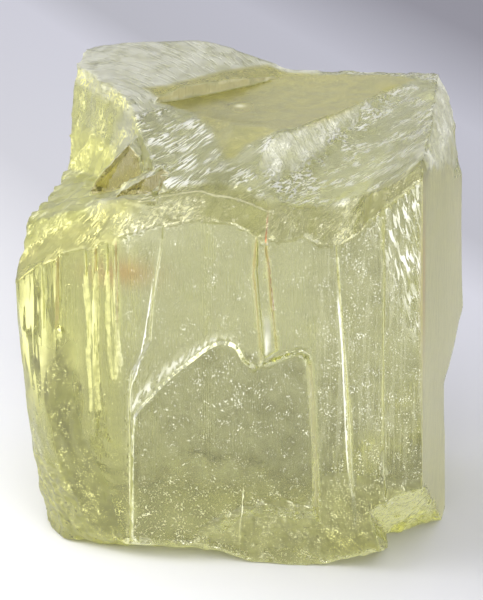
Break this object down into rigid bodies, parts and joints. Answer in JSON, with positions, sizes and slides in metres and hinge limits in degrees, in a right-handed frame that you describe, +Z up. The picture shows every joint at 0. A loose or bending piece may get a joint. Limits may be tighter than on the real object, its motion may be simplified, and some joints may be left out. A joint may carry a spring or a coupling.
{
  "type": "raw spodumene crystal",
  "caption": "Rough clear yellow-green spodumene cleavage block with flat glassy walls, thin cleavage sheets, upright striations and shell-like broken ends.",
  "frame": {"origin": "middle of the foot of the crystal's bounding box, on the surface that it rests on", "axes": "+Z up along the crystal's long axis and its striations, -Y out of the large front cleavage face, +X towards the crystal's right as seen from the front"},
  "size_m": [0.0454, 0.0402, 0.0496],
  "materials": {
    "spodumene": "clear and glassy on cleavage faces, frosted and splintery on broken ones"
  },
  "bodies": {
    "root": {"spodumene_crystal": "spodumene"}
  },
  "joints": []
}
